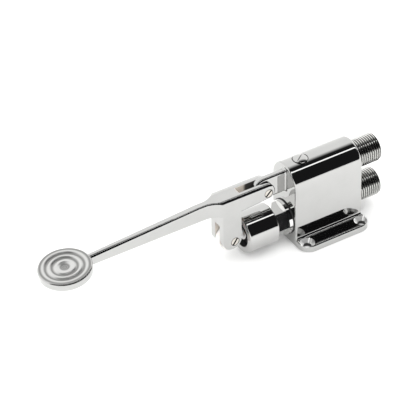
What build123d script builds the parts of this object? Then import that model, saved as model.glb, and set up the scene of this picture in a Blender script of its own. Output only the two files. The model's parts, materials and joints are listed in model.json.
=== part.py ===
"""Floor-mounted, self-closing foot-pedal valve, in millimetres.

+X points to the rear, where the two threaded ports are, and the pedal pad is at -X. +Z is up.
The origin is the centre of the four floor-screw holes, on the underside of the base flange.
The pedal turns about a pin in the front lug. Its roller pushes a tappet and stem rearwards,
which lifts a rubber-faced disc off its seat against the water pressure and the return spring.
"""

import os
from math import cos, radians, sin, tan

from build123d import *

os.makedirs("parts", exist_ok=True)

# ---------------------------------------------------------------- driving dimensions
# Body block and base flange
body_length = 56.6
body_width = 30.0
body_front = -body_length / 2
body_rear = body_length / 2
arch_radius = body_width / 2
front_edge_radius = 1.4
rear_edge_radius = 2.6
flange_width = 54.5
flange_thickness = 5.3
flange_corner_radius = 8.5
flange_edge_radius = 1.7
flange_root_radius = 2.4
floor_screw_spacing_x = 46.0
floor_screw_spacing_y = 43.0
floor_screw_hole_radius = 2.75
floor_screw_sink_radius = 5.5

# Ports: G 1/2 parallel pipe thread, one above the other
port_spacing = 30.0
inlet_z = 17.3
outlet_z = inlet_z + port_spacing
port_length = 19.6
port_end = body_rear + port_length
port_bore_radius = 6.75
thread_radius = 20.955 / 2
thread_pitch = 1.814
thread_depth = 1.162
thread_crest = 0.32
thread_count = 10
thread_collar = 1.3
thread_flank_angle = 27.5

# Cartridge chambers in the body
socket_radius = 11.1
socket_end = -12.0
seat_chamber_radius = 8.55
seat_chamber_end = 6.0
bore_cone_length = 1.8
outlet_bore_front = -21.0
drill_point_angle = 31.0

# Regulating screw, in front of the middle on top of the body
regulator_x = -15.0
spotface_radius = 6.0
spotface_z = 59.8
regulator_bore_radius = 4.5
passage_radius = 4.0

# Front lug that carries the pedal
lug_thickness = 5.4
lug_radius = 8.8
lug_center_z = 49.7
lug_edge_radius = 1.9
lug_root_radius = 1.5

# Pedal lever: pivot pin, roller pin, fork, arm and pad
pivot_x, pivot_z = -46.2, 49.7
roller_x, roller_z = -74.2, 19.4
fork_width = 16.0
slot_width = 6.0
arm_width = 6.0
arm_end_width = 5.4
pad_x, pad_z = -205.0, 50.5
pad_tilt = 6.3
pad_radius = 19.0
pad_thickness = 6.2
pad_rim_radius = 1.4
pad_groove_radii = (8.6, 13.2)
pad_groove_depth = 1.1
pad_groove_half_width = 1.7
pad_ridge_radius = 1.6
pad_dish_radius = 5.2
pad_dish_depth = 1.2
fork_front, leg_rear, leg_bottom = -83.7, -68.9, 13.8
fork_end_radius, fork_end_z = 5.7, 50.4
fork_top_z, fork_bottom_z = 56.3, 42.9
arm_bottom_z = 44.2
arm_slope_start_x = -100.0
arm_top_end = (-192.0, 50.9)
shoulder_start_x = -95.0
leg_end_radius = 7.3
arm_to_leg_radius = 8.0
leg_to_fork_radius = 6.5
upper_edge_radius = 1.5
lower_edge_radius = 0.4
slot_top_x, slot_top_z, slot_front_z = -67.5, 46.0, 33.8
slot_overrun = 5.0
roller_radius = 10.0
roller_width = 5.4

# Pins
pin_radius = 2.5
pin_thread_radius = 2.0
pin_head_radius = 3.3
pin_head_depth = 2.0
bush_radius = 4.0
driver_slot_length = 14.0
driver_slot_width = 1.0
driver_slot_depth = 1.1
pivot_slot_turn = 43.0
roller_slot_turn = 55.0
head_clearance = 0.1
pin_edge_radius = 0.5
running_clearance = 0.05
cheek_face = fork_width / 2
head_seat = pin_head_depth - cheek_face

# Bonnet, cap and the parts inside them, all on the inlet axis
cap_front = -65.2
cap_rear = -41.5
cap_radius = 15.0
cap_bore_radius = 11.25
cap_wall = 3.0
cap_recess_radius = 9.8
cap_recess_depth = 4.8
cap_front_edge_radius = 1.4
cap_rear_edge_radius = 0.8
hex_across_flats = 21.4
hex_turn = 5.3
collar_front = -31.8
collar_rear = -29.0
collar_radius = 13.0
gasket_radius = 13.3
spigot_radius = 11.2
spigot_front = -45.5
barrel_radius = 11.0
barrel_rear = -20.0
gland_pocket_radius = 5.05
gland_pocket_rear = -37.4
gland_bush_rear = -41.8
gland_bush_radius = 6.0
cage_radius = 8.1
cage_bore_radius = 5.5
cage_front = -25.0
window_front = -19.0
window_rear = -13.0
window_width = 5.6
cage_step = -11.5
seat_x = -6.0
seat_bore_radius = 4.5
seat_lip_width = 0.9
seat_lip_height = 0.6
stem_radius = 3.0
stem_thread_radius = 2.0
tappet_radius = 5.0
tappet_flange_radius = 10.0
tappet_flange_thickness = 2.0
tappet_skirt = 4.0
tappet_nose = 4.5
tappet_edge_radius = 0.6
tappet_gap = 0.2
tappet_front = roller_x + roller_radius + tappet_gap
washer_radius = 6.2
washer_thickness = 2.4
holder_radius = 7.0
holder_lip = 1.6
holder_wall = 1.5
nut_radius = 3.5
nut_thickness = 3.2
stem_end_chamfer = 0.5
spring_wire_radius = 0.7
spring_mean_radius = 8.2
spring_turns = 3

# Seal rings
small_ring_section = 0.99
cage_ring_section = 0.9
ring_gap = 0.02
groove_depth = 2 * cage_ring_section + 3 * ring_gap
groove_half_width = 1.1
cage_ring_x = -8.6
wiper_width = 1.2
wiper_inset = 0.9

# Regulating screw: head, shank and the plug that narrows the passage
regulator_head_z = spotface_z + 1.1
regulator_rim_height = 1.4
regulator_dome_height = 1.3
regulator_head_radius = 5.2
regulator_shank_radius = regulator_bore_radius - running_clearance
regulator_ring_z = regulator_head_z - 3.0
regulator_shank_end = 52.0
regulator_neck_radius = 3.0
plug_top_z, plug_shoulder_z, plug_tip_z = 43.1, 41.9, 37.8
plug_radius = 3.7
plug_tip_radius = 1.6
regulator_slot_turn = 35.0

# ---------------------------------------------------------------- section planes
# In each of these the first coordinate runs along a turning axis and the second is the radius.
valve_plane = Plane(origin=(0, 0, inlet_z), x_dir=(1, 0, 0), z_dir=(0, -1, 0))
outlet_plane = Plane(origin=(0, 0, outlet_z), x_dir=(1, 0, 0), z_dir=(0, -1, 0))
pivot_plane = Plane(origin=(pivot_x, 0, pivot_z), x_dir=(0, 1, 0), z_dir=(1, 0, 0))
roller_plane = Plane(origin=(roller_x, 0, roller_z), x_dir=(0, 1, 0), z_dir=(1, 0, 0))
regulator_plane = Plane(origin=(regulator_x, 0, 0), x_dir=(0, 0, 1), z_dir=(0, 1, 0))
pad_plane = Plane(
    origin=(pad_x, 0, pad_z),
    x_dir=(cos(radians(pad_tilt)), 0, sin(radians(pad_tilt))),
    z_dir=(-sin(radians(pad_tilt)), 0, cos(radians(pad_tilt))),
)
pad_section = Plane(origin=pad_plane.origin, x_dir=pad_plane.z_dir, z_dir=(0, 1, 0))


def turn(plane, *outline, mode=Mode.ADD):
    """Revolve a closed half-section, given as (place along the axis, radius) points."""
    with BuildSketch(plane) as section:
        with BuildLine():
            Polyline(*outline, close=True)
        make_face()
    revolve(section.sketch, axis=Axis(plane.origin, plane.x_dir), mode=mode)


def rod(plane, start, end, radius, mode=Mode.ADD):
    """A plain cylinder on a plane's turning axis."""
    turn(plane, (start, 0), (start, radius), (end, radius), (end, 0), mode=mode)


def ring(plane, place, mean_radius, section_radius):
    """An O-ring centred on a plane's turning axis."""
    with BuildSketch(plane) as section:
        with Locations((place, mean_radius)):
            Circle(section_radius)
    revolve(section.sketch, axis=Axis(plane.origin, plane.x_dir))


def driver_slot(head_plane, angle):
    """A screwdriver slot across a screw head, sunk along the plane's normal."""
    with BuildSketch(head_plane) as slot:
        Rectangle(driver_slot_length, driver_slot_width, rotation=angle)
    extrude(slot.sketch, amount=driver_slot_depth, mode=Mode.SUBTRACT)


def pin_outline(plane):
    """A shouldered pin screw across the fork, its head on the near side and its thread on the far side."""
    turn(
        plane,
        (-cheek_face, 0),
        (-cheek_face, pin_head_radius),
        (head_seat, pin_head_radius),
        (head_seat, pin_radius),
        (slot_width / 2, pin_radius),
        (slot_width / 2, pin_thread_radius),
        (cheek_face, pin_thread_radius),
        (cheek_face, 0),
    )


# ---------------------------------------------------------------- body
# Upside-down U section, rounded over at both ends
with BuildPart() as body_block:
    with BuildSketch(Plane.YZ.offset(body_front)):
        Rectangle(body_width, outlet_z, align=(Align.CENTER, Align.MIN))
        with Locations((0, outlet_z)):
            Circle(arch_radius)
    extrude(amount=body_length)
    for end_face, edge_radius in (
        (body_block.faces().sort_by(Axis.X)[0], front_edge_radius),
        (body_block.faces().sort_by(Axis.X)[-1], rear_edge_radius),
    ):
        fillet(end_face.edges().sort_by(Axis.Z)[1:], radius=edge_radius)

with BuildPart() as base_flange:
    with BuildSketch():
        RectangleRounded(body_length, flange_width, flange_corner_radius)
    extrude(amount=flange_thickness)
    fillet(base_flange.edges().group_by(Axis.Z)[-1], radius=flange_edge_radius)

# The lug is an upright bar, rounded around the pivot at its front end
with BuildPart() as front_lug:
    with BuildSketch(Plane.XZ):
        with Locations((pivot_x, lug_center_z)):
            Circle(lug_radius)
            Rectangle(
                body_front - pivot_x + lug_root_radius, 2 * lug_radius, align=(Align.MIN, Align.CENTER)
            )
    extrude(amount=lug_thickness / 2, both=True)
    lug_outline = front_lug.faces().filter_by(Axis.Y).edges()
    fillet(lug_outline.filter_by(lambda edge: edge.center().X < body_front), radius=lug_edge_radius)

with BuildPart() as body:
    add(body_block.part)
    add(base_flange.part)
    add(front_lug.part)
    lug_roots = body.edges().filter_by(Axis.Z).filter_by(
        lambda edge: abs(edge.center().X - body_front) < 0.01 and abs(edge.center().Y) < arch_radius / 2
    )
    fillet(lug_roots, radius=lug_root_radius)
    flange_top_edges = body.edges().filter_by(Axis.X).filter_by(
        lambda edge: abs(edge.center().Z - flange_thickness) < 0.01
    )
    flange_roots = flange_top_edges.filter_by(lambda edge: abs(edge.center().Y) < flange_width / 3)
    fillet(flange_roots, radius=flange_root_radius)
    # Threaded ports, their threads cut as parallel rings
    for port_plane in (valve_plane, outlet_plane):
        rod(port_plane, body_rear - 1, port_end, thread_radius)
        turn(
            port_plane,
            (port_end - thread_depth, thread_radius),
            (port_end, thread_radius - thread_depth),
            (port_end, thread_radius),
            mode=Mode.SUBTRACT,
        )
        for index in range(thread_count):
            root = body_rear + thread_collar + (index + 0.5) * thread_pitch
            half_mouth = (thread_pitch - thread_crest) / 2
            half_root = half_mouth - thread_depth * tan(radians(thread_flank_angle))
            turn(
                port_plane,
                (root - half_mouth, thread_radius),
                (root - half_root, thread_radius - thread_depth),
                (root + half_root, thread_radius - thread_depth),
                (root + half_mouth, thread_radius),
                mode=Mode.SUBTRACT,
            )
    # Inlet bore, seat chamber and cartridge socket in one line from the rear to the front
    turn(
        valve_plane,
        (port_end, 0),
        (port_end, port_bore_radius),
        (seat_chamber_end + bore_cone_length, port_bore_radius),
        (seat_chamber_end, seat_chamber_radius),
        (socket_end, seat_chamber_radius),
        (socket_end, socket_radius),
        (body_front, socket_radius),
        (body_front, 0),
        mode=Mode.SUBTRACT,
    )
    # Outlet bore, blind, with the point left by the drill
    turn(
        outlet_plane,
        (port_end, 0),
        (port_end, port_bore_radius),
        (outlet_bore_front, port_bore_radius),
        (outlet_bore_front - port_bore_radius * tan(radians(drill_point_angle)), 0),
        mode=Mode.SUBTRACT,
    )
    # Regulating screw's spot-face and bore, and the passage below it
    rod(regulator_plane, spotface_z, outlet_z + arch_radius + 1, spotface_radius, mode=Mode.SUBTRACT)
    rod(regulator_plane, outlet_z, spotface_z, regulator_bore_radius, mode=Mode.SUBTRACT)
    rod(regulator_plane, inlet_z, outlet_z, passage_radius, mode=Mode.SUBTRACT)
    # Countersunk floor-screw holes
    with Locations(Plane.XY.offset(flange_thickness)):
        with GridLocations(floor_screw_spacing_x, floor_screw_spacing_y, 2, 2):
            CounterSinkHole(
                radius=floor_screw_hole_radius,
                counter_sink_radius=floor_screw_sink_radius,
                depth=flange_thickness,
                counter_sink_angle=90,
            )
            Cylinder(
                floor_screw_sink_radius,
                flange_root_radius,
                align=(Align.CENTER, Align.CENTER, Align.MIN),
                mode=Mode.SUBTRACT,
            )
    # Eye for the pivot bush
    rod(pivot_plane, -lug_thickness, lug_thickness, bush_radius, mode=Mode.SUBTRACT)
body.part.label = "body"
export_step(body.part, "parts/body.step")

with BuildPart() as pivot_bush:
    with BuildSketch(Plane.XZ.offset(-lug_thickness / 2)):
        with Locations((pivot_x, pivot_z)):
            Circle(bush_radius)
            Circle(pin_radius + running_clearance, mode=Mode.SUBTRACT)
    extrude(amount=lug_thickness)
pivot_bush.part.label = "pivot_bush"
export_step(pivot_bush.part, "parts/pivot_bush.step")

# ---------------------------------------------------------------- bonnet and cartridge
with BuildPart() as bonnet:
    with BuildSketch(Plane(origin=(cap_rear, 0, inlet_z), x_dir=(0, 1, 0), z_dir=(1, 0, 0))):
        RegularPolygon(hex_across_flats / 2, 6, major_radius=False, rotation=hex_turn)
    extrude(amount=collar_front - cap_rear)
    rod(valve_plane, spigot_front, cap_rear, spigot_radius)
    rod(valve_plane, collar_front, collar_rear, collar_radius)
    rod(valve_plane, collar_rear, barrel_rear, barrel_radius)
    # Stem bore, seal pocket and gland thread from the front, cage socket from the rear
    rod(valve_plane, spigot_front, barrel_rear, stem_radius + running_clearance, mode=Mode.SUBTRACT)
    rod(valve_plane, gland_bush_rear, gland_pocket_rear, gland_pocket_radius, mode=Mode.SUBTRACT)
    rod(valve_plane, spigot_front, gland_bush_rear, gland_bush_radius, mode=Mode.SUBTRACT)
    rod(valve_plane, cage_front, barrel_rear, cage_radius, mode=Mode.SUBTRACT)
bonnet.part.label = "bonnet"
export_step(bonnet.part, "parts/bonnet.step")

with BuildPart() as bonnet_gasket:
    turn(
        valve_plane,
        (collar_rear, socket_radius),
        (collar_rear, gasket_radius),
        (body_front, gasket_radius),
        (body_front, socket_radius),
    )
bonnet_gasket.part.label = "bonnet_gasket"
export_step(bonnet_gasket.part, "parts/bonnet_gasket.step")

# Gland bush, screwed in from the front, holds the stem's O-rings and guides the stem
with BuildPart() as gland_bush:
    turn(
        valve_plane,
        (spigot_front, stem_radius + running_clearance),
        (spigot_front, gland_bush_radius),
        (gland_bush_rear, gland_bush_radius),
        (gland_bush_rear, stem_radius + running_clearance),
    )
    driver_slot(Plane(origin=(spigot_front, 0, inlet_z), x_dir=(0, 1, 0), z_dir=(1, 0, 0)), 0)
gland_bush.part.label = "gland_bush"
export_step(gland_bush.part, "parts/gland_bush.step")

with BuildPart() as stem_o_rings:
    for ring_x in (gland_pocket_rear - groove_half_width, gland_bush_rear + groove_half_width):
        ring(valve_plane, ring_x, stem_radius + small_ring_section + ring_gap, small_ring_section)
stem_o_rings.part.label = "stem_o_rings"
export_step(stem_o_rings.part, "parts/stem_o_rings.step")

# Cage: windows let the water out between the bonnet and the seat at its rear end
land_radius = seat_chamber_radius - running_clearance
groove_floor = seat_chamber_radius - groove_depth
seat_lip_radius = seat_bore_radius + seat_lip_width
with BuildPart() as cage:
    turn(
        valve_plane,
        (cage_front, cage_bore_radius),
        (cage_front, cage_radius),
        (cage_step, cage_radius),
        (cage_step, land_radius),
        (cage_ring_x - groove_half_width, land_radius),
        (cage_ring_x - groove_half_width, groove_floor),
        (cage_ring_x + groove_half_width, groove_floor),
        (cage_ring_x + groove_half_width, land_radius),
        (seat_x - seat_lip_height, land_radius),
        (seat_x - seat_lip_height, seat_lip_radius),
        (seat_x, seat_lip_radius - seat_lip_height / 2),
        (seat_x, seat_bore_radius),
        (cage_step + cage_bore_radius - seat_bore_radius, seat_bore_radius),
        (cage_step, cage_bore_radius),
    )
    for window_plane in (Plane.XY.offset(inlet_z), valve_plane):
        with BuildSketch(window_plane):
            with Locations(((window_front + window_rear) / 2, 0)):
                SlotOverall(window_rear - window_front, window_width)
        extrude(amount=cage_radius + 1, both=True, mode=Mode.SUBTRACT)
cage.part.label = "cage"
export_step(cage.part, "parts/cage.step")

with BuildPart() as cage_o_ring:
    cage_ring_mean = seat_chamber_radius - cage_ring_section - ring_gap
    ring(valve_plane, cage_ring_x, cage_ring_mean, cage_ring_section)
cage_o_ring.part.label = "cage_o_ring"
export_step(cage_o_ring.part, "parts/cage_o_ring.step")

# ---------------------------------------------------------------- cap and its seal
# A recess in the cap's front takes the rim of the roller when the pedal is pressed
recess_floor = cap_front + cap_recess_depth
cap_inner_face = recess_floor + cap_wall
wiper_front = recess_floor + wiper_inset
wiper_radius = tappet_radius + wiper_width
with BuildPart() as cap:
    turn(
        valve_plane,
        (recess_floor, tappet_radius + running_clearance),
        (recess_floor, cap_recess_radius),
        (cap_front, cap_recess_radius),
        (cap_front, cap_radius),
        (cap_rear, cap_radius),
        (cap_rear, cap_bore_radius),
        (cap_inner_face, cap_bore_radius),
        (cap_inner_face, tappet_radius + running_clearance),
        (wiper_front + wiper_width, tappet_radius + running_clearance),
        (wiper_front + wiper_width, wiper_radius),
        (wiper_front, wiper_radius),
        (wiper_front, tappet_radius + running_clearance),
    )
    outer_rims = cap.edges().filter_by(GeomType.CIRCLE).filter_by(
        lambda edge: edge.radius > cap_radius - 0.01
    )
    fillet(outer_rims.sort_by(Axis.X)[0], radius=cap_front_edge_radius)
    fillet(outer_rims.sort_by(Axis.X)[-1], radius=cap_rear_edge_radius)
cap.part.label = "cap"
export_step(cap.part, "parts/cap.step")

with BuildPart() as wiper_seal:
    turn(
        valve_plane,
        (wiper_front, tappet_radius + ring_gap),
        (wiper_front, wiper_radius),
        (wiper_front + wiper_width, wiper_radius),
        (wiper_front + wiper_width, tappet_radius + ring_gap),
    )
wiper_seal.part.label = "wiper_seal"
export_step(wiper_seal.part, "parts/wiper_seal.step")

# ---------------------------------------------------------------- moving stem
tappet_flange_front = cap_inner_face + tappet_gap
tappet_flange_rear = tappet_flange_front + tappet_flange_thickness
tappet_rear = tappet_flange_rear + tappet_skirt
stem_front = tappet_front + tappet_nose
with BuildPart() as tappet:
    turn(
        valve_plane,
        (tappet_front, 0),
        (tappet_front, tappet_radius),
        (tappet_flange_front, tappet_radius),
        (tappet_flange_front, tappet_flange_radius),
        (tappet_flange_rear, tappet_flange_radius),
        (tappet_flange_rear, tappet_radius),
        (tappet_rear, tappet_radius),
        (tappet_rear, stem_radius),
        (stem_front, stem_radius),
        (stem_front, 0),
    )
    front_rim = tappet.edges().filter_by(GeomType.CIRCLE).sort_by(Axis.X)[0]
    fillet(front_rim, radius=tappet_edge_radius)
tappet.part.label = "tappet"
export_step(tappet.part, "parts/tappet.step")

holder_floor = seat_x + washer_thickness
nut_front = holder_floor + holder_wall
stem_rear = nut_front + nut_thickness + stem_end_chamfer
with BuildPart() as stem:
    rod(valve_plane, stem_front, seat_x, stem_radius)
    rod(valve_plane, seat_x, stem_rear, stem_thread_radius)
    chamfer(stem.edges().sort_by(Axis.X)[-1], length=stem_end_chamfer)
stem.part.label = "stem"
export_step(stem.part, "parts/stem.step")

with BuildPart() as seat_washer:
    turn(
        valve_plane,
        (seat_x, stem_thread_radius),
        (seat_x, washer_radius),
        (holder_floor, washer_radius),
        (holder_floor, stem_thread_radius),
    )
seat_washer.part.label = "seat_washer"
export_step(seat_washer.part, "parts/seat_washer.step")

with BuildPart() as disc_holder:
    turn(
        valve_plane,
        (holder_floor, stem_thread_radius),
        (holder_floor, washer_radius),
        (holder_floor - holder_lip, washer_radius),
        (holder_floor - holder_lip, holder_radius),
        (nut_front, holder_radius),
        (nut_front, stem_thread_radius),
    )
    holder_rim = disc_holder.edges().filter_by(GeomType.CIRCLE).filter_by(
        lambda edge: edge.radius > washer_radius + ring_gap
    )
    chamfer(holder_rim.sort_by(Axis.X)[-1], length=stem_end_chamfer)
disc_holder.part.label = "disc_holder"
export_step(disc_holder.part, "parts/disc_holder.step")

with BuildPart() as disc_nut:
    with BuildSketch(Plane(origin=(nut_front, 0, inlet_z), x_dir=(0, 1, 0), z_dir=(1, 0, 0))):
        RegularPolygon(nut_radius, 6, major_radius=False)
        Circle(stem_thread_radius, mode=Mode.SUBTRACT)
    extrude(amount=nut_thickness)
disc_nut.part.label = "disc_nut"
export_step(disc_nut.part, "parts/disc_nut.step")

# Return spring between the tappet's flange and the bonnet, drawn at its installed length
with BuildPart() as return_spring:
    coil_start = tappet_flange_rear + spring_wire_radius
    coil_length = spigot_front - tappet_flange_rear - 2 * spring_wire_radius
    with BuildLine() as coil:
        Helix(
            pitch=coil_length / spring_turns,
            height=coil_length,
            radius=spring_mean_radius,
            center=(coil_start, 0, inlet_z),
            direction=(1, 0, 0),
        )
    with BuildSketch(Plane(origin=coil.line @ 0, z_dir=coil.line % 0)):
        Circle(spring_wire_radius)
    sweep(path=coil.line, is_frenet=True)
return_spring.part.label = "return_spring"
export_step(return_spring.part, "parts/return_spring.step")

# ---------------------------------------------------------------- regulating screw
regulator_rim_z = regulator_head_z + regulator_rim_height
regulator_top_z = regulator_rim_z + regulator_dome_height
regulator_groove_floor = regulator_bore_radius - groove_depth
with BuildPart() as regulator_screw:
    with BuildSketch(regulator_plane):
        with BuildLine():
            TangentArc(
                (regulator_top_z, 0), (regulator_rim_z, regulator_head_radius), tangent=(0, 1)
            )
            Polyline(
                (regulator_rim_z, regulator_head_radius),
                (regulator_head_z, regulator_head_radius),
                (regulator_head_z, regulator_shank_radius),
                (regulator_ring_z + groove_half_width, regulator_shank_radius),
                (regulator_ring_z + groove_half_width, regulator_groove_floor),
                (regulator_ring_z - groove_half_width, regulator_groove_floor),
                (regulator_ring_z - groove_half_width, regulator_shank_radius),
                (regulator_shank_end + 1, regulator_shank_radius),
                (regulator_shank_end, regulator_neck_radius),
                (plug_top_z + plug_radius - regulator_neck_radius, regulator_neck_radius),
                (plug_top_z, plug_radius),
                (plug_shoulder_z, plug_radius),
                (plug_tip_z, plug_tip_radius),
                (plug_tip_z, 0),
                (regulator_top_z, 0),
            )
        make_face()
    revolve(axis=Axis(regulator_plane.origin, regulator_plane.x_dir))
    regulator_slot_plane = Plane(
        origin=(regulator_x, 0, regulator_top_z), x_dir=(1, 0, 0), z_dir=(0, 0, -1)
    )
    driver_slot(regulator_slot_plane, -regulator_slot_turn)
regulator_screw.part.label = "regulator_screw"
export_step(regulator_screw.part, "parts/regulator_screw.step")

with BuildPart() as regulator_o_ring:
    ring(
        regulator_plane,
        regulator_ring_z,
        regulator_bore_radius - cage_ring_section - ring_gap,
        cage_ring_section,
    )
regulator_o_ring.part.label = "regulator_o_ring"
export_step(regulator_o_ring.part, "parts/regulator_o_ring.step")

# ---------------------------------------------------------------- pedal lever
arm_end = pad_x - 1
lever_height = fork_top_z + slot_overrun
arm_end_top_z = pad_z - pad_thickness / 2
arm_end_bottom_z = pad_z - pad_thickness
pad_groove_top = pad_radius - pad_rim_radius
pad_dish_sphere_radius = (pad_dish_radius**2 + pad_dish_depth**2) / (2 * pad_dish_depth)
with BuildPart() as pedal_lever:
    # Side view of arm, fork and legs
    with BuildSketch(Plane.XZ) as side_view:
        with BuildLine():
            Polyline(
                (arm_end, arm_end_bottom_z),
                (fork_front, arm_bottom_z),
                (fork_front, leg_bottom),
                (leg_rear, leg_bottom),
                (leg_rear, fork_bottom_z),
                (pivot_x, fork_end_z - fork_end_radius),
                (pivot_x, fork_end_z + fork_end_radius),
                (arm_slope_start_x, fork_top_z),
                arm_top_end,
                (arm_end, arm_end_top_z),
                close=True,
            )
        make_face()
        corners = side_view.vertices()
        fillet(corners.group_by(Axis.Y)[0], radius=leg_end_radius)
        fillet(corners.sort_by_distance((fork_front, arm_bottom_z))[0], radius=arm_to_leg_radius)
        fillet(corners.sort_by_distance((leg_rear, fork_bottom_z))[0], radius=leg_to_fork_radius)
        with Locations((pivot_x, fork_end_z)):
            Circle(fork_end_radius)
    extrude(amount=fork_width, both=True)
    # Top view: a slim arm that widens over two shoulders into the fork
    with BuildSketch():
        with BuildLine():
            shoulder_foot = (shoulder_start_x, arm_width / 2)
            Polyline((arm_end, 0), (arm_end, arm_end_width / 2), shoulder_foot)
            TangentArc(shoulder_foot, (fork_front, cheek_face), tangent=(1, 0))
            fork_end = pivot_x + 2 * fork_end_radius
            Polyline((fork_front, cheek_face), (fork_end, cheek_face), (fork_end, 0))
            mirror(about=Plane.XZ)
        make_face()
    extrude(amount=lever_height, mode=Mode.INTERSECT)
    # The upper side edges are rounded, and with them the whole outline of the fork and the legs
    upper_faces = pedal_lever.faces().filter_by(lambda face: face.normal_at().Z > 0.5)
    upper_edges = upper_faces.edges().filter_by(lambda edge: abs(edge.center().Y) > arm_end_width / 3)
    fillet(upper_edges, radius=upper_edge_radius)
    arm_length = fork_front - pad_x
    lower_edges = pedal_lever.edges().filter_by(GeomType.LINE).filter_by(
        lambda edge: edge.center().Z < fork_end_z and edge.length > arm_length / 2
    )
    fillet(lower_edges, radius=lower_edge_radius)
    # Slot between the two cheeks and the two legs
    with BuildSketch(Plane.XZ):
        with BuildLine():
            Polyline(
                (slot_top_x, lever_height),
                (slot_top_x, slot_top_z),
                (fork_front, slot_front_z),
                (fork_front - slot_overrun, slot_front_z),
                (fork_front - slot_overrun, leg_bottom - slot_overrun),
                (fork_end, leg_bottom - slot_overrun),
                (fork_end, lever_height),
                close=True,
            )
        make_face()
    extrude(amount=slot_width / 2, both=True, mode=Mode.SUBTRACT)
    # Bores for the two pins: head recess and clearance on the near side, thread on the far side
    for pin_plane in (pivot_plane, roller_plane):
        rod(pin_plane, -fork_width, head_seat, pin_head_radius + head_clearance, mode=Mode.SUBTRACT)
        rod(pin_plane, -fork_width, 0, pin_radius + running_clearance, mode=Mode.SUBTRACT)
        rod(pin_plane, 0, fork_width, pin_thread_radius, mode=Mode.SUBTRACT)
    # Round pad, its tread turned into rings around a small recess
    with BuildSketch(pad_section) as pad_profile:
        with BuildLine():
            tread = []
            for groove in pad_groove_radii:
                tread += [(0, groove - pad_groove_half_width)]
                tread += [(-pad_groove_depth, groove)]
                tread += [(0, groove + pad_groove_half_width)]
            RadiusArc((-pad_dish_depth, 0), (0, pad_dish_radius), pad_dish_sphere_radius)
            Polyline(
                (0, pad_dish_radius),
                *tread,
                (0, pad_radius),
                (-pad_thickness, pad_radius),
                (-pad_thickness, 0),
                (-pad_dish_depth, 0),
            )
        make_face()
        ridge_corners = pad_profile.vertices().filter_by(
            lambda corner: corner.X > -pad_dish_depth + 0.05 and 0.1 < corner.Y < pad_groove_top
        )
        fillet(ridge_corners, radius=pad_ridge_radius)
        fillet(
            pad_profile.vertices().filter_by(lambda corner: corner.Y > pad_groove_top),
            radius=pad_rim_radius,
        )
    revolve(axis=Axis(pad_section.origin, pad_section.x_dir))
pedal_lever.part.label = "pedal_lever"
export_step(pedal_lever.part, "parts/pedal_lever.step")

# ---------------------------------------------------------------- pins and roller
with BuildPart() as pivot_screw:
    pin_outline(pivot_plane)
    fillet(pivot_screw.edges().sort_by(Axis.Y)[0], radius=pin_edge_radius)
    head_plane = Plane(origin=(pivot_x, -cheek_face, pivot_z), x_dir=(1, 0, 0), z_dir=(0, 1, 0))
    driver_slot(head_plane, -pivot_slot_turn)
pivot_screw.part.label = "pivot_screw"
export_step(pivot_screw.part, "parts/pivot_screw.step")

with BuildPart() as roller_screw:
    pin_outline(roller_plane)
    fillet(roller_screw.edges().sort_by(Axis.Y)[0], radius=pin_edge_radius)
    head_plane = Plane(origin=(roller_x, -cheek_face, roller_z), x_dir=(1, 0, 0), z_dir=(0, 1, 0))
    driver_slot(head_plane, -roller_slot_turn)
roller_screw.part.label = "roller_screw"
export_step(roller_screw.part, "parts/roller_screw.step")

with BuildPart() as roller:
    rod(roller_plane, -roller_width / 2, roller_width / 2, roller_radius)
    rod(
        roller_plane,
        -roller_width,
        roller_width,
        pin_radius + running_clearance,
        mode=Mode.SUBTRACT,
    )
    tread_edges = roller.edges().filter_by(GeomType.CIRCLE).filter_by(
        lambda edge: edge.radius > roller_radius - running_clearance
    )
    chamfer(tread_edges, length=pin_edge_radius)
roller.part.label = "roller"
export_step(roller.part, "parts/roller.step")
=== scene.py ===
"""Visual scene of the foot-pedal valve: materials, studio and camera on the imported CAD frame."""

import json
import math

import bpy
from mathutils import Matrix, Vector


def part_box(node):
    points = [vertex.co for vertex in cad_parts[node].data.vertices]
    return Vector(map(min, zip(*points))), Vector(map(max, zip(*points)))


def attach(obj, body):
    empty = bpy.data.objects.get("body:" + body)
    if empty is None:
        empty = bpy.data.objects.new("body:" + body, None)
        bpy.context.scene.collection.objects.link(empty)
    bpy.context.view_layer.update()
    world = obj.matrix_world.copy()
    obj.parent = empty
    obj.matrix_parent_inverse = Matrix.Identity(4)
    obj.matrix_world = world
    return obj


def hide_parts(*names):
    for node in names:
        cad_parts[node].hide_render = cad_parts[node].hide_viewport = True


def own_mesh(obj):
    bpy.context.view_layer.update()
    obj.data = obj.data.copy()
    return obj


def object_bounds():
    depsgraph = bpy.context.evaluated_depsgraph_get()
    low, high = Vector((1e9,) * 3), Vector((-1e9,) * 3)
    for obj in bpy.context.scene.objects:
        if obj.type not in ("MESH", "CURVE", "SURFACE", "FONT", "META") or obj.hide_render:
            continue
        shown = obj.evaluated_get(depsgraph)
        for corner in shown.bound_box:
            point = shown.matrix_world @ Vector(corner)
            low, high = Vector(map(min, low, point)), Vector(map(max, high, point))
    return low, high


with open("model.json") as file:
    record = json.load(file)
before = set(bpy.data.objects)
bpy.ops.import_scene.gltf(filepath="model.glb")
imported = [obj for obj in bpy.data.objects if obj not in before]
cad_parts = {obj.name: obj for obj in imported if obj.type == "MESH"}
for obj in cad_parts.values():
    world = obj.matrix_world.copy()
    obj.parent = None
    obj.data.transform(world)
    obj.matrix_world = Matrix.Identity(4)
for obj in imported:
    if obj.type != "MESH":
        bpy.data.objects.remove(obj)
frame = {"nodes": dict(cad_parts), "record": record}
NODES = frame["nodes"]
CAD_LOW, CAD_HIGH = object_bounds()
MOUNTS = {mount["name"]: mount for mount in frame["record"]["mounts"]}
THREADS = [MOUNTS[name] for name in ("inlet_thread", "outlet_thread")]
PORT_AXES_Z = [thread["pos_m"][2] for thread in THREADS]
STEM_AXIS_Z = PORT_AXES_Z[0]
MM_PER_M = 1000


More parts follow.
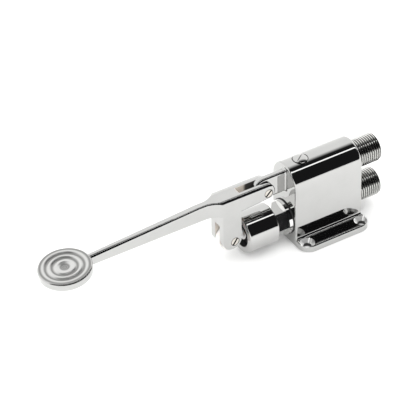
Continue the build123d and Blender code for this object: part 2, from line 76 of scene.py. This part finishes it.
# ---------------------------------------------------------------- node helpers
def new_material(name):
    material = bpy.data.materials.new(name)
    material.use_nodes = True
    tree = material.node_tree
    return material, tree, tree.nodes["Principled BSDF"]


def add_node(tree, kind, **values):
    """A node with its named inputs or properties set."""
    node = tree.nodes.new(kind)
    for key, value in values.items():
        if key in node.inputs:
            node.inputs[key].default_value = value
        else:
            setattr(node, key, value)
    return node


def object_point(tree):
    return tree.nodes.new("ShaderNodeTexCoord").outputs["Object"]


def noise(tree, scale, detail=3.0, roughness=0.5, stretch=(1, 1, 1)):
    """Factor of a noise texture in the object's own space, stretched by axis."""
    mapping = add_node(tree, "ShaderNodeMapping", Scale=stretch)
    tree.links.new(object_point(tree), mapping.inputs["Vector"])
    texture = add_node(
        tree, "ShaderNodeTexNoise", Scale=scale, Detail=detail, Roughness=roughness
    )
    tree.links.new(mapping.outputs["Vector"], texture.inputs["Vector"])
    return texture.outputs["Fac"]


def ranged(tree, value, low, high, from_low=0.3, from_high=0.7):
    """A value in from_low..from_high mapped to low..high, smoothly and clamped.

    Most of a noise's values lie in the range that is used when none is given."""
    node = add_node(tree, "ShaderNodeMapRange", interpolation_type="SMOOTHSTEP")
    for socket, number in zip(node.inputs[1:5], (from_low, from_high, low, high)):
        socket.default_value = number
    tree.links.new(value, node.inputs["Value"])
    return node.outputs["Result"]


def blended(tree, factor, first, second):
    """Colour mixed from first to second by factor; each is a colour or an output."""
    node = add_node(tree, "ShaderNodeMix", data_type="RGBA")
    tree.links.new(factor, node.inputs["Factor"])
    for socket, colour in ((node.inputs[6], first), (node.inputs[7], second)):
        if isinstance(colour, bpy.types.NodeSocket):
            tree.links.new(colour, socket)
        else:
            socket.default_value = (*colour, 1)
    return node.outputs[2]


def bumped(tree, shader, height, strength, depth):
    """Relief on the shader's normal; depth is that of a height of 1, in metres."""
    bump = add_node(tree, "ShaderNodeBump", Strength=strength, Distance=depth)
    tree.links.new(height, bump.inputs["Height"])
    tree.links.new(bump.outputs["Normal"], shader.inputs["Normal"])


def calculated(tree, operation, first, second=0.0):
    """One arithmetic step; each operand is a number or an output."""
    node = add_node(tree, "ShaderNodeMath", operation=operation)
    for socket, value in zip(node.inputs, (first, second)):
        if isinstance(value, bpy.types.NodeSocket):
            tree.links.new(value, socket)
        else:
            socket.default_value = value
    return node.outputs[0]


def product(tree, *factors):
    """All factors multiplied, so for masks of 0 and 1 where all of them hold."""
    result = factors[0]
    for factor in factors[1:]:
        result = calculated(tree, "MULTIPLY", result, factor)
    return result


def difference(tree, first, second):
    return calculated(tree, "SUBTRACT", first, second)


def magnitude(tree, value):
    return calculated(tree, "ABSOLUTE", value)


def distance(tree, first, second):
    """Length of the vector with these two components."""
    squares = calculated(tree, "ADD", product(tree, first, first), product(tree, second, second))
    return calculated(tree, "SQRT", squares)


def above(tree, value, limit):
    """1 where value is over limit, else 0."""
    return calculated(tree, "GREATER_THAN", value, limit)


def below(tree, value, limit):
    """1 where value is under limit, else 0."""
    return calculated(tree, "LESS_THAN", value, limit)


def place(tree):
    """The object's own x, y and z, in metres."""
    split = tree.nodes.new("ShaderNodeSeparateXYZ")
    tree.links.new(object_point(tree), split.inputs[0])
    return split.outputs[0], split.outputs[1], split.outputs[2]


def mixed(tree, factor, first, second):
    """Number mixed from first to second by factor; each is a number or an output."""
    node = add_node(tree, "ShaderNodeMix", data_type="FLOAT")
    tree.links.new(factor, node.inputs["Factor"])
    for socket, value in ((node.inputs[2], first), (node.inputs[3], second)):
        if isinstance(value, bpy.types.NodeSocket):
            tree.links.new(value, socket)
        else:
            socket.default_value = value
    return node.outputs[0]


def current(socket):
    """What feeds a socket: its link's source, else its own value."""
    return socket.links[0].from_socket if socket.is_linked else socket.default_value


# ---------------------------------------------------------------- colours, finishes, and painted light and shade
# Reflectances and surface colours are linear RGB
CHROME = (0.50, 0.50, 0.493)
CHROME_HAZED = tuple(0.96 * c for c in CHROME)
# Bonnet: the same chrome painted brighter, as a painted highlight on its facets
BONNET_PAINTED_HIGHLIGHT, BONNET_PAINTED_HIGHLIGHT_HAZED = (0.80, 0.80, 0.79), (0.77, 0.77, 0.76)
CHROME_ROUGHNESS, CHROME_HAZED_ROUGHNESS = 0.03, 0.07
CHROME_WAVE, CAST_WAVE, CHROME_GRAIN = 0.006, 0.03, 0.0006
NICKEL, NICKEL_HAZED = (0.66, 0.63, 0.58), (0.58, 0.55, 0.50)
NICKEL_ROUGHNESS, NICKEL_HAZED_ROUGHNESS, NICKEL_WAVE, NICKEL_GRAIN = 0.16, 0.26, 0.01, 0.01
STEEL, STEEL_HAZED = (0.56, 0.56, 0.55), (0.46, 0.46, 0.45)
BRASS, BRASS_HAZED = (0.80, 0.62, 0.30), (0.66, 0.48, 0.2)
TURNED_ROUGHNESS, STEEL_HAZED_ROUGHNESS, BRASS_HAZED_ROUGHNESS = 0.18, 0.32, 0.34
TURNED_GRAIN, ALONG_X = 0.02, (6, 1, 1)
NYLON, NYLON_ROUGHNESS = (0.84, 0.82, 0.80), 0.32
GASKET_RUBBER, GASKET_ROUGHNESS = (0.012, 0.012, 0.012), 0.6
RING_RUBBER, RING_ROUGHNESS = (0.02, 0.02, 0.022), 0.5
# Port threads: painted shade in the roots and a painted highlight on the crests
THREAD_ROOT_PAINTED_SHADE, THREAD_CREST_PAINTED_HIGHLIGHT = (0.24, 0.24, 0.235), (0.66, 0.66, 0.645)
THREAD_ROUGHNESS = 0.19
# Countersinks: machined cones painted bright, as a painted highlight
SINK_PAINTED_HIGHLIGHT, SINK_ROUGHNESS, SINK_METALLIC = (0.95, 0.95, 0.94), 0.10, 0.7
# Painted shade for the base's bores and the cap's recess
BORE_AND_RECESS_SHADE, BORE_AND_RECESS_SHADE_METALLIC = (0.03, 0.03, 0.03), 0.2
BORE_ROUGHNESS, RECESS_ROUGHNESS = 0.4, 0.5
# Pin screws: painted shade in the slot, at the rim and under the head
PIN_PAINTED_SHADE, PIN_PAINTED_SHADE_ROUGHNESS = (0.01, 0.01, 0.01), 0.45
# Lever slot: the pale unpolished wall, and painted shade for its deeper part
SLOT_PALE, SLOT_PAINTED_SHADE = (0.66, 0.61, 0.55), (0.05, 0.048, 0.045)
SLOT_ROUGHNESS, SLOT_METALLIC = 0.45, 0.1
# Pad tread: painted highlight on the ridges, painted shade in the rings
TREAD_RIDGE_PAINTED_HIGHLIGHT, TREAD_HOLLOW_PAINTED_SHADE, TREAD_ROUGHNESS = (0.60, 0.60, 0.59), (0.25, 0.25, 0.245), 0.32

# Noise scales are in features per metre, more or less
HAZE_SCALE, HAZE_DETAIL, HAZE_ROUGHNESS = 60.0, 5.0, 0.6
PATCH_SCALE, PATCH_DETAIL, PATCH_ROUGHNESS = 240.0, 4.0, 0.55
HAZE_FROM, HAZE_TO = 0.35, 0.75
WAVE_SCALE, WAVE_DETAIL, GRAIN_SCALE, GRAIN_DETAIL = 45.0, 1.0, 1800.0, 2.0
POLISH_DEPTH = 0.001
SPECK_SCALE, SPECK_DETAIL, SPECK_ROUGHNESS = 900.0, 4.0, 0.6
SPECK_FROM, SPECK_TO, SPECK_RELIEF, SPECK_DEPTH = 0.4, 0.8, 0.3, 0.0001
SPECK_GAIN, SPECK_LIFT, SPECK_SMOOTHER, SPECK_ROUGHER = 1.8, 0.01, 0.08, 0.1
CLOUD_SCALE, CLOUD_SHADE, CLOUD_ROUGHER = 120.0, 0.93, 0.1
NYLON_SUBSURFACE, NYLON_SUBSURFACE_DEPTH = 0.1, 0.002
TOOL_LINE_SCALE, TOOL_LINE_DETAIL, ACROSS_Y = 1400.0, 2.0, (1, 8, 1)
TOOL_LINE_RELIEF, TOOL_LINE_DEPTH = 0.15, 0.00005

# ---------------------------------------------------------------- places of the finishes, and of the painted light and shade
# In metres, in the frame's axes at rest, which are each node's own axes
# Body: where the port threads' finish and painted shading start, and the radii that count as root
# and as crest
THREAD_FRONT_X = THREADS[0]["pos_m"][0] - THREADS[0]["dims"]["length_mm"] / (2 * MM_PER_M)
THREAD_COLLAR = 0.0003
THREAD_START_X = THREAD_FRONT_X + THREAD_COLLAR
THREAD_ROOT, THREAD_CREST = 0.00945, 0.01040
# Body: countersinks of the base screws, and the bores under them
BASE_SCREWS = MOUNTS["base_screws"]["dims"]
BORE_MARGIN = 0.00015
BORE_RADIUS = BASE_SCREWS["hole_r_mm"] / MM_PER_M + BORE_MARGIN
SINK_RADIUS, SINK_TOP_Z, SINK_FOOT_Z = 0.0055, 0.0053, 0.0026
SINK_REACH_MARGIN, SINK_TOP_MARGIN = 0.0002, 0.0001
# Cap: recess in its front, round the tappet
RECESS_RADIUS, RECESS_DEPTH = 0.0100, 0.0050
# Lever: slot between the cheeks, pale unpolished metal in front and painted shade behind
SLOT_HALF_WIDTH = 0.00305
FORK_FRONT_X, SLOT_REAR_X, SLOT_ROOF_Z = -0.0835, -0.0677, 0.0470
SLOT_SHADE_FROM_X, SLOT_SHADE_TO_X = -0.0612, -0.0580
# Lever: how far its shading leans at the fork's edges, and across the arm per metre off its ridge
BUFFED_FROM_Y, BUFFED_TO_Y, FORK_LEAN = 0.0040, 0.0067, 0.80
PAD_CENTRE_X, PAD_UNDERSIDE_Z, TREAD_RADIUS = -0.205, 0.0475, 0.0180
ARM_START_X, ARM_END_X = PAD_CENTRE_X + TREAD_RADIUS, -0.12
ARM_RIDGE_Y, ARM_CROWN, ARM_CROWN_AT_FORK = 0.0012, 170.0, 80.0
# Lever: rings of painted shade in the pad's tread, at these radii, and how far each spreads
TREAD_SHADE_RINGS = (0.0, 0.0013, 0.0026, 0.0088, 0.0133, 0.0171)
RING_INNER, RING_OUTER = 0.0002, 0.0016
# Pin screws: painted shade on the rim, the slot and everything under the head's face; slot angles
# from X, in degrees
PIN_RIM_RADIUS, PIN_HEAD_RADIUS = 0.0026, 0.0033
PIN_SLOT_HALF_WIDTH, PIN_SHADE_DEPTH = 0.00068, 0.00030
PIVOT_SLOT_TURN, ROLLER_SLOT_TURN = 43, 55


# ---------------------------------------------------------------- materials
def metal(name, colours, roughnesses, wave=0.0, grain=0.0, stretch=(1, 1, 1)):
    """Polished or turned metal: slow polish waves, fine grain, and faint handling haze.

    Colours and roughnesses are pairs: the clean metal, then the hazed one."""
    material, tree, shader = new_material(name)
    shader.inputs["Metallic"].default_value = 1.0
    haze = noise(tree, HAZE_SCALE, HAZE_DETAIL, HAZE_ROUGHNESS)
    patches = noise(tree, PATCH_SCALE, PATCH_DETAIL, PATCH_ROUGHNESS, stretch)
    surface_colour = blended(tree, ranged(tree, haze, 0, 1, HAZE_FROM, HAZE_TO), *colours)
    surface_roughness = ranged(tree, patches, *roughnesses, HAZE_FROM, HAZE_TO)
    tree.links.new(surface_colour, shader.inputs["Base Color"])
    tree.links.new(surface_roughness, shader.inputs["Roughness"])
    slow = product(tree, noise(tree, WAVE_SCALE, WAVE_DETAIL), wave)
    fine = product(tree, noise(tree, GRAIN_SCALE, GRAIN_DETAIL, stretch=stretch), grain)
    bumped(tree, shader, calculated(tree, "ADD", slow, fine), 1.0, POLISH_DEPTH)
    return material


def region_finish_and_painted_light(material, mask, colour, roughness, metallic=1.0):
    """A second colour and finish on a metal where mask is 1: a real finish in some places, painted
    shade and painted highlights in others.
    """
    tree = material.node_tree
    inputs = tree.nodes["Principled BSDF"].inputs
    tree.links.new(
        blended(tree, mask, current(inputs["Base Color"]), colour), inputs["Base Color"]
    )
    for socket, value in ((inputs["Roughness"], roughness), (inputs["Metallic"], metallic)):
        tree.links.new(mixed(tree, mask, current(socket), value), socket)


def rubber(name, colour, roughness):
    """Moulded rubber with lighter specks."""
    material, tree, shader = new_material(name)
    speck = noise(tree, SPECK_SCALE, SPECK_DETAIL, SPECK_ROUGHNESS)
    lighter = tuple(c * SPECK_GAIN + SPECK_LIFT for c in colour)
    tree.links.new(
        blended(tree, ranged(tree, speck, 0, 1, SPECK_FROM, SPECK_TO), colour, lighter),
        shader.inputs["Base Color"],
    )
    speck_roughness = ranged(tree, speck, roughness - SPECK_SMOOTHER, roughness + SPECK_ROUGHER)
    tree.links.new(speck_roughness, shader.inputs["Roughness"])
    bumped(tree, shader, speck, SPECK_RELIEF, SPECK_DEPTH)
    return material


def plastic(name, colour, roughness):
    """Turned nylon: slightly translucent white with faint tool lines."""
    material, tree, shader = new_material(name)
    cloud = noise(tree, CLOUD_SCALE)
    darker = tuple(CLOUD_SHADE * c for c in colour)
    tree.links.new(blended(tree, cloud, colour, darker), shader.inputs["Base Color"])
    cloud_roughness = ranged(tree, cloud, roughness, roughness + CLOUD_ROUGHER)
    tree.links.new(cloud_roughness, shader.inputs["Roughness"])
    shader.inputs["Subsurface Weight"].default_value = NYLON_SUBSURFACE
    shader.inputs["Subsurface Scale"].default_value = NYLON_SUBSURFACE_DEPTH
    tool_lines = noise(tree, TOOL_LINE_SCALE, TOOL_LINE_DETAIL, stretch=ACROSS_Y)
    bumped(tree, shader, tool_lines, TOOL_LINE_RELIEF, TOOL_LINE_DEPTH)
    return material


def polished_chrome(name, wave=CHROME_WAVE):
    roughnesses = (CHROME_ROUGHNESS, CHROME_HAZED_ROUGHNESS)
    return metal(name, (CHROME, CHROME_HAZED), roughnesses, wave, CHROME_GRAIN)


def off_port_axis(tree, y, z, axis_z):
    """Distance from a port's axis, which runs along X."""
    return distance(tree, y, difference(tree, z, axis_z))


def thread_finish_and_painted_shading(material, x, y, z):
    """Duller port threads, with painted shade darkest down in their roots and a painted highlight
    on their crests.
    """
    tree = material.node_tree
    radii = [off_port_axis(tree, y, z, axis_z) for axis_z in PORT_AXES_Z]
    radius = calculated(tree, "MINIMUM", *radii)
    threads = above(tree, x, THREAD_START_X)
    depth = ranged(tree, radius, 0, 1, THREAD_ROOT, THREAD_CREST)
    # painted shade in the roots, rising to a painted highlight on the crests
    thread_painted_shading = blended(tree, depth, THREAD_ROOT_PAINTED_SHADE, THREAD_CREST_PAINTED_HIGHLIGHT)
    region_finish_and_painted_light(material, threads, thread_painted_shading, THREAD_ROUGHNESS)


def base_holes_painted_light(material, x, y, z):
    """Machined countersinks with a painted highlight, over bores with painted shade, at the base's
    four screw holes.
    """
    tree = material.node_tree
    across = [
        difference(tree, magnitude(tree, own), BASE_SCREWS[spacing] / (2 * MM_PER_M))
        for own, spacing in ((x, "spacing_x_mm"), (y, "spacing_y_mm"))
    ]
    cone_reach = difference(tree, distance(tree, *across), z)
    sink = product(
        tree,
        below(tree, cone_reach, SINK_RADIUS - SINK_TOP_Z + SINK_REACH_MARGIN),
        above(tree, z, SINK_FOOT_Z),
        below(tree, z, SINK_TOP_Z - SINK_TOP_MARGIN),
    )
    # painted highlight on the countersinks
    region_finish_and_painted_light(material, sink, SINK_PAINTED_HIGHLIGHT, SINK_ROUGHNESS, SINK_METALLIC)
    bore = product(
        tree, below(tree, distance(tree, *across), BORE_RADIUS), below(tree, z, SINK_FOOT_Z)
    )
    # painted shade down in the bores
    region_finish_and_painted_light(material, bore, BORE_AND_RECESS_SHADE, BORE_ROUGHNESS, BORE_AND_RECESS_SHADE_METALLIC)


def body_chrome():
    """The body's wavier chrome, with its own finish and painted shading on the port threads, and
    painted shade and highlight at the base's holes.
    """
    material = polished_chrome("chrome_body", wave=CAST_WAVE)
    x, y, z = place(material.node_tree)
    thread_finish_and_painted_shading(material, x, y, z)
    base_holes_painted_light(material, x, y, z)
    return material


def cap_chrome():
    """Chrome with painted shade in its recess, where the roller presses the tappet."""
    material = polished_chrome("chrome_cap")
    tree = material.node_tree
    x, y, z = place(tree)
    radius = off_port_axis(tree, y, z, STEM_AXIS_Z)
    floor_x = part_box("cap")[0].x + RECESS_DEPTH
    recess = product(tree, below(tree, radius, RECESS_RADIUS), below(tree, x, floor_x))
    # painted shade in the cap's recess
    region_finish_and_painted_light(material, recess, BORE_AND_RECESS_SHADE, RECESS_ROUGHNESS, BORE_AND_RECESS_SHADE_METALLIC)
    return material


def bonnet_painted_highlight_chrome():
    """Chrome painted brighter than the rest, as a painted highlight on the hexagon and its collar.
    """
    colours = (BONNET_PAINTED_HIGHLIGHT, BONNET_PAINTED_HIGHLIGHT_HAZED)
    return metal("chrome_bonnet", colours, (CHROME_ROUGHNESS, CHROME_HAZED_ROUGHNESS), CAST_WAVE)


def pin_nickel(node, slot_turn):
    """Nickel, with painted shade in the driver slot, at the rim and under the head's face;
    slot_turn is the slot's angle.
    """
    roughnesses = (NICKEL_ROUGHNESS, NICKEL_HAZED_ROUGHNESS)
    material = metal(
        f"nickel_{node}", (NICKEL, NICKEL_HAZED), roughnesses, NICKEL_WAVE, NICKEL_GRAIN
    )
    tree = material.node_tree
    low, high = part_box(node)
    centre = (low + high) / 2
    x, y, z = place(tree)
    off_x, off_z = difference(tree, x, centre.x), difference(tree, z, centre.z)
    rim = ranged(tree, distance(tree, off_x, off_z), 0, 1, PIN_RIM_RADIUS, PIN_HEAD_RADIUS)
    turn = math.radians(slot_turn)
    across = difference(
        tree, product(tree, off_z, math.cos(turn)), product(tree, off_x, math.sin(turn))
    )
    slot = below(tree, magnitude(tree, across), PIN_SLOT_HALF_WIDTH)
    sunk = above(tree, y, low.y + PIN_SHADE_DEPTH)
    shaded = calculated(tree, "MAXIMUM", calculated(tree, "MAXIMUM", rim, slot), sunk)
    # painted shade on the slot, the rim and below the head's face
    region_finish_and_painted_light(material, shaded, PIN_PAINTED_SHADE, PIN_PAINTED_SHADE_ROUGHNESS)
    return material


def lever_lean(tree, x, y):
    """How far the lever's shading leans to its +Y side, or to -Y where it is below 0."""
    fork_edge = ranged(tree, magnitude(tree, y), 0, FORK_LEAN, BUFFED_FROM_Y, BUFFED_TO_Y)
    fork = product(tree, fork_edge, calculated(tree, "SIGN", y), above(tree, x, ARM_END_X))
    crown = ranged(tree, x, ARM_CROWN, ARM_CROWN_AT_FORK, ARM_START_X, ARM_END_X)
    off_ridge = difference(tree, y, ARM_RIDGE_Y)
    on_arm = (above(tree, x, ARM_START_X), below(tree, x, ARM_END_X))
    return calculated(tree, "ADD", fork, product(tree, off_ridge, crown, *on_arm))


def buffed_lever(material, x, y):
    """The lever's upper faces shade as if buffed round, by leaning the normal sideways."""
    tree = material.node_tree
    shader = tree.nodes["Principled BSDF"]
    own_normal = tree.nodes.new("ShaderNodeSeparateXYZ")
    tree.links.new(tree.nodes.new("ShaderNodeTexCoord").outputs["Normal"], own_normal.inputs[0])
    facing_up = calculated(tree, "MAXIMUM", own_normal.outputs["Z"], 0.0)
    sideways = tree.nodes.new("ShaderNodeCombineXYZ")
    lean = product(tree, lever_lean(tree, x, y), facing_up, facing_up)
    tree.links.new(lean, sideways.inputs["Y"])
    turned = add_node(
        tree,
        "ShaderNodeVectorTransform",
        vector_type="VECTOR",
        convert_from="OBJECT",
        convert_to="WORLD",
    )
    tree.links.new(sideways.outputs[0], turned.inputs[0])
    leaning = add_node(tree, "ShaderNodeVectorMath", operation="ADD")
    tree.links.new(current(shader.inputs["Normal"]), leaning.inputs[0])
    tree.links.new(turned.outputs[0], leaning.inputs[1])
    unit = add_node(tree, "ShaderNodeVectorMath", operation="NORMALIZE")
    tree.links.new(leaning.outputs[0], unit.inputs[0])
    tree.links.new(unit.outputs[0], shader.inputs["Normal"])


def slot_finish_and_painted_shade(material, x, y, z):
    """The unpolished slot between the lever's cheeks, with painted shade deeper in behind."""
    tree = material.node_tree
    behind_or_under = calculated(
        tree, "MAXIMUM", above(tree, x, SLOT_REAR_X), below(tree, z, SLOT_ROOF_Z)
    )
    between_cheeks = below(tree, magnitude(tree, y), SLOT_HALF_WIDTH)
    slot = product(tree, between_cheeks, above(tree, x, FORK_FRONT_X), behind_or_under)
    depth = ranged(tree, x, 0, 1, SLOT_SHADE_FROM_X, SLOT_SHADE_TO_X)
    # the wall's own pale colour in front, painted shade further back
    slot_colour_and_shade = blended(tree, depth, SLOT_PALE, SLOT_PAINTED_SHADE)
    region_finish_and_painted_light(material, slot, slot_colour_and_shade, SLOT_ROUGHNESS, SLOT_METALLIC)


def tread_finish_and_painted_light(material, x, y, z):
    """The pad's tread: duller than the arm, with rings of painted shade and a painted highlight on
    the ridges between them.
    """
    tree = material.node_tree
    from_centre = distance(tree, difference(tree, x, PAD_CENTRE_X), y)
    off_rings = [magnitude(tree, difference(tree, from_centre, ring)) for ring in TREAD_SHADE_RINGS]
    nearest = off_rings[0]
    for off_ring in off_rings[1:]:
        nearest = calculated(tree, "MINIMUM", nearest, off_ring)
    hollow = ranged(tree, nearest, 1, 0, RING_INNER, RING_OUTER)
    on_pad = below(tree, from_centre, TREAD_RADIUS)
    tread = product(tree, on_pad, above(tree, z, PAD_UNDERSIDE_Z))
    # painted shade in the rings, painted highlight on the ridges
    region_finish_and_painted_light(material, tread, blended(tree, hollow, TREAD_RIDGE_PAINTED_HIGHLIGHT, TREAD_HOLLOW_PAINTED_SHADE), TREAD_ROUGHNESS)


def lever_chrome():
    """Chrome that shades as if buffed round, with an unpolished slot holding painted shade, and a
    duller tread with painted shade and highlight rings.
    """
    material = polished_chrome("chrome_lever")
    x, y, z = place(material.node_tree)
    buffed_lever(material, x, y)
    slot_finish_and_painted_shade(material, x, y, z)
    tread_finish_and_painted_light(material, x, y, z)
    return material


def turned_metal(name, colours, hazed_roughness):
    """Lathe-turned metal, its grain drawn out along X."""
    roughnesses = (TURNED_ROUGHNESS, hazed_roughness)
    return metal(name, colours, roughnesses, grain=TURNED_GRAIN, stretch=ALONG_X)


chrome = polished_chrome("chrome_polished")
steel = turned_metal("steel_turned", (STEEL, STEEL_HAZED), STEEL_HAZED_ROUGHNESS)
brass = turned_metal("brass_turned", (BRASS, BRASS_HAZED), BRASS_HAZED_ROUGHNESS)
nylon = plastic("nylon_white", NYLON, NYLON_ROUGHNESS)
black_gasket = rubber("gasket_black", GASKET_RUBBER, GASKET_ROUGHNESS)
black_rubber = rubber("rubber_black", RING_RUBBER, RING_ROUGHNESS)

FINISH = {
    "body": body_chrome(),
    "bonnet": bonnet_painted_highlight_chrome(),
    "cap": cap_chrome(),
    "pedal_lever": lever_chrome(),
    "pivot_screw": pin_nickel("pivot_screw", PIVOT_SLOT_TURN),
    "roller_screw": pin_nickel("roller_screw", ROLLER_SLOT_TURN),
    "regulator_screw": chrome,
    "roller": nylon,
    "tappet": steel,
    "return_spring": steel,
    "disc_nut": brass,
    "stem": brass,
    "cage": brass,
    "disc_holder": brass,
    "gland_bush": brass,
    "pivot_bush": brass,
    "bonnet_gasket": black_gasket,
    "stem_o_rings": black_rubber,
    "cage_o_ring": black_rubber,
    "wiper_seal": black_rubber,
    "seat_washer": black_rubber,
    "regulator_o_ring": black_rubber,
}
for node, material in FINISH.items():
    NODES[node].data.materials.clear()
    NODES[node].data.materials.append(material)


# ---------------------------------------------------------------- spring
SPRING_TURNS, SPRING_WIRE_RADIUS = 3, 0.0007
SPRING_STEPS, WIRE_STEPS = 144, 16


def coil_point(share, start_x, end_x, mean_radius):
    """Where the wire's axis is at a share of the coil's length, and which way is outwards there."""
    turn = 2 * math.pi * SPRING_TURNS * share
    outward = Vector((0, math.cos(turn), math.sin(turn)))
    on_axis = Vector((start_x + (end_x - start_x) * share, 0, STEM_AXIS_Z))
    return outward * mean_radius + on_axis, outward


def wire_ring(centre, outward):
    """Points round the wire, in the plane through the coil's axis."""
    ring = []
    for part in range(WIRE_STEPS):
        around = 2 * math.pi * part / WIRE_STEPS
        offset = outward * math.cos(around) + Vector((math.sin(around), 0, 0))
        ring.append(centre + offset * SPRING_WIRE_RADIUS)
    return ring


def wire_faces():
    """Faces of the wire: a cap, quads between neighbouring rings, and the other cap."""
    faces = [tuple(range(WIRE_STEPS))]
    for first in range(0, SPRING_STEPS * WIRE_STEPS, WIRE_STEPS):
        for part in range(WIRE_STEPS):
            after = (part + 1) % WIRE_STEPS
            faces.append(
                (first + part, first + WIRE_STEPS + part, first + WIRE_STEPS + after, first + after)
            )
    last = SPRING_STEPS * WIRE_STEPS
    faces.append(tuple(last + part for part in reversed(range(WIRE_STEPS))))
    return faces


def squeezable_spring():
    """The return spring's coil as its own mesh on the valve's body, in place of the CAD spring."""
    spring_low, spring_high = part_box("return_spring")
    start_x, end_x = spring_low.x + SPRING_WIRE_RADIUS, spring_high.x - SPRING_WIRE_RADIUS
    mean_radius = (spring_high.y - spring_low.y) / 2 - SPRING_WIRE_RADIUS
    verts = []
    for step in range(SPRING_STEPS + 1):
        verts += wire_ring(*coil_point(step / SPRING_STEPS, start_x, end_x, mean_radius))
    mesh = bpy.data.meshes.new("spring_coil")
    mesh.from_pydata(verts, [], wire_faces())
    for polygon in mesh.polygons:
        polygon.use_smooth = len(polygon.vertices) == 4
    mesh.materials.append(steel)
    obj = bpy.data.objects.new("spring_coil", mesh)
    bpy.context.scene.collection.objects.link(obj)
    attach(obj, "valve")
    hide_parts("return_spring")
    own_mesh(obj)


squeezable_spring()

# ---------------------------------------------------------------- studio
# Angles in the plane across the valve, from the near side (-Y) up and over to the far side;
# light colours are radiances, so they may be over 1
FLAG_FROM, FLAG_TO = math.radians(4.0), math.radians(104.0)
STRIP_AT, STRIP_HALF_WIDTH = math.radians(72.6), math.radians(3.2)
EDGE_SOFTNESS, FAR_EDGE_SOFTNESS = math.radians(1.0), math.radians(24.0)
SOFTBOX = (1.34, 1.34, 1.335)
FLAG = (0.016, 0.016, 0.017)
STRIP = (2.2, 2.2, 2.2)
SUN_STRENGTH, SUN_SPREAD, SUN_TILT = 3.9, math.radians(120), math.radians(32)
SUN_PLACE = (0, -2, 3)


def studio_world():
    """White softboxes all round but for a dark flag on the near side, split by a strip light."""
    world = bpy.data.worlds.new("studio")
    bpy.context.scene.world = world
    world.use_nodes = True
    tree = world.node_tree
    background = tree.nodes["Background"]
    split = tree.nodes.new("ShaderNodeSeparateXYZ")
    tree.links.new(tree.nodes.new("ShaderNodeTexCoord").outputs["Generated"], split.inputs[0])
    nearness = product(tree, split.outputs["Y"], -1.0)
    angle = calculated(tree, "ARCTAN2", split.outputs["Z"], nearness)

    def between(start, end, end_softness=EDGE_SOFTNESS):
        """1 from start to end, with soft edges, else 0."""
        rise = ranged(tree, angle, 0, 1, start - EDGE_SOFTNESS / 2, start + EDGE_SOFTNESS / 2)
        fall = ranged(tree, angle, 1, 0, end - end_softness / 2, end + end_softness / 2)
        return product(tree, rise, fall)

    flagged = blended(tree, between(FLAG_FROM, FLAG_TO, FAR_EDGE_SOFTNESS), SOFTBOX, FLAG)
    strip = between(STRIP_AT - STRIP_HALF_WIDTH, STRIP_AT + STRIP_HALF_WIDTH)
    tree.links.new(blended(tree, strip, flagged, STRIP), background.inputs["Color"])
    background.inputs["Strength"].default_value = 1.0


def overhead_light():
    """Wide, soft light from above the near side, which fills the floor but isn't reflected."""
    data = bpy.data.lights.new("overhead", "SUN")
    data.energy = SUN_STRENGTH
    data.angle = SUN_SPREAD
    obj = bpy.data.objects.new("overhead", data)
    bpy.context.scene.collection.objects.link(obj)
    obj.location = SUN_PLACE
    obj.rotation_euler.x = SUN_TILT
    obj.visible_glossy = False


studio_world()
overhead_light()


# ---------------------------------------------------------------- floor
FLOOR_PALE, FLOOR_PALER, FLOOR_ROUGHNESS = (0.90, 0.90, 0.895), (0.92, 0.92, 0.915), 0.9
FLOOR_TONE_SCALE, FLOOR_TONE_DETAIL = 2.0, 2.0
FLOOR_HALF, FLOOR_GAP = 6.0, 0.0002


def pale_floor():
    """Matt floor just under the base, so that the two faces don't share a plane."""
    material, tree, shader = new_material("floor_pale")
    tone = noise(tree, FLOOR_TONE_SCALE, FLOOR_TONE_DETAIL)
    tree.links.new(blended(tree, tone, FLOOR_PALE, FLOOR_PALER), shader.inputs["Base Color"])
    shader.inputs["Roughness"].default_value = FLOOR_ROUGHNESS
    shader.inputs["Specular IOR Level"].default_value = 0.0
    corners = [(FLOOR_HALF * x, FLOOR_HALF * y, 0) for x, y in ((-1, -1), (1, -1), (1, 1), (-1, 1))]
    mesh = bpy.data.meshes.new("floor")
    mesh.from_pydata(corners, [], [(0, 1, 2, 3)])
    obj = bpy.data.objects.new("floor", mesh)
    bpy.context.scene.collection.objects.link(obj)
    obj.location.z = CAD_LOW.z - FLOOR_GAP
    mesh.materials.append(material)


pale_floor()

# ---------------------------------------------------------------- camera
# Fitted to the photo: turn about Z from the near side, rise over the floor, roll, place and lens
TURN, RISE, ROLL = math.radians(31.57), math.radians(37.92), math.radians(-1.16)
CAMERA_PLACE, CAMERA_LENS = (-0.9428, -1.3888, 1.3185), 257.14
CLIP_START, CLIP_END = 0.1, 50.0
back = Vector((-math.sin(TURN) * math.cos(RISE), -math.cos(TURN) * math.cos(RISE), math.sin(RISE)))
right = Vector((math.cos(TURN), -math.sin(TURN), 0))
up = back.cross(right)
right, up = (
    right * math.cos(ROLL) + up * math.sin(ROLL),
    up * math.cos(ROLL) - right * math.sin(ROLL),
)
camera = bpy.data.objects.new("camera", bpy.data.cameras.new("camera"))
bpy.context.scene.collection.objects.link(camera)
camera.data.lens = CAMERA_LENS
camera.data.clip_start = CLIP_START
camera.data.clip_end = CLIP_END
facing = Matrix((right, up, back)).transposed().to_4x4()
camera.matrix_world = Matrix.Translation(CAMERA_PLACE) @ facing
bpy.context.scene.camera = camera
bpy.context.scene.view_settings.view_transform = "Standard"
